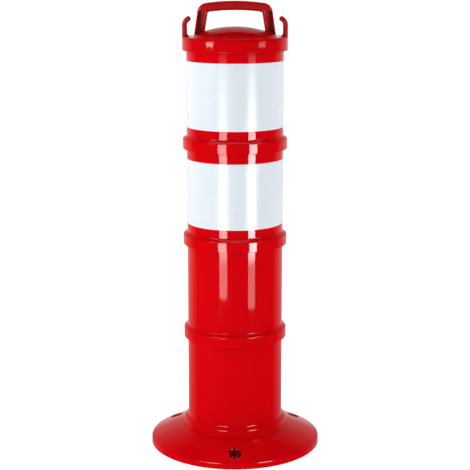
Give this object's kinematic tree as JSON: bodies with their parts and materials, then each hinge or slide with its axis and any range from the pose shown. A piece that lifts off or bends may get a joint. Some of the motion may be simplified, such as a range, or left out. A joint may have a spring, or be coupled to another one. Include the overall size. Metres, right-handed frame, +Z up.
{
  "type": "water filled marker post",
  "caption": "Hollow cylindrical barrier post on a round anchored foot, with raised joint rings, reflective bands and a screw cap with carry handle and chain hooks.",
  "frame": {"origin": "centre of the foot's underside, on the ground", "axes": "+Z up the column, -Y towards the front anchor hole, +X to the right-hand chain hook"},
  "size_m": [0.36, 0.36, 0.9373],
  "materials": {
    "foot_plastic": "glossy moulded polyethylene, red",
    "column_plastic": "glossy moulded polyethylene, red",
    "cap_plastic": "glossy moulded polyethylene, red",
    "reflective_sheet": "smooth white retroreflective sheeting",
    "seal_rubber": "matt black rubber",
    "screw_steel": "satin stainless steel",
    "drain_plastic": "black moulded plastic"
  },
  "bodies": {
    "post": {"foot_flange": "foot_plastic", "column_section_1": "column_plastic", "column_section_2": "column_plastic", "column_section_3": "column_plastic", "column_section_4": "column_plastic", "joint_seal_1": "seal_rubber", "joint_seal_2": "seal_rubber", "joint_seal_3": "seal_rubber", "joint_seal_4": "seal_rubber", "reflective_sleeve_lower": "reflective_sheet", "reflective_sleeve_upper": "reflective_sheet", "drain_bush": "drain_plastic", "drain_bush_seal": "seal_rubber", "drain_bush_nut": "drain_plastic"},
    "gasket": {"cap_gasket": "seal_rubber"},
    "cap": {"cap_shell": "cap_plastic", "carry_handle": "cap_plastic", "handle_screws": "screw_steel", "handle_screw_seals": "seal_rubber", "chain_hook_left": "cap_plastic", "chain_hook_right": "cap_plastic"},
    "plug_seal": {"drain_washer": "seal_rubber"},
    "plug": {"drain_plug": "drain_plastic"}
  },
  "joints": [
    {"name": "cap_lift", "type": "slide", "parent": "post", "child": "gasket", "axis": [0, 0, 1], "range_m": [0, 0.012]},
    {"name": "cap_turn", "type": "hinge", "parent": "gasket", "child": "cap", "pos_m": [0, 0, 0.853], "axis": [0, 0, 1], "range_deg": [0, 360]},
    {"name": "plug_slide", "type": "slide", "parent": "post", "child": "plug_seal", "axis": [0, 1, 0], "range_m": [0, 0.01]},
    {"name": "plug_turn", "type": "hinge", "parent": "plug_seal", "child": "plug", "pos_m": [0, 0.1085, 0.092], "axis": [0, 1, 0], "range_deg": [0, 900]}
  ],
  "couplings": [
    {"joint": "cap_lift", "follows": "cap_turn", "m_per_rad": 0.0019099},
    {"joint": "plug_slide", "follows": "plug_turn", "m_per_rad": 0.00063662}
  ]
}
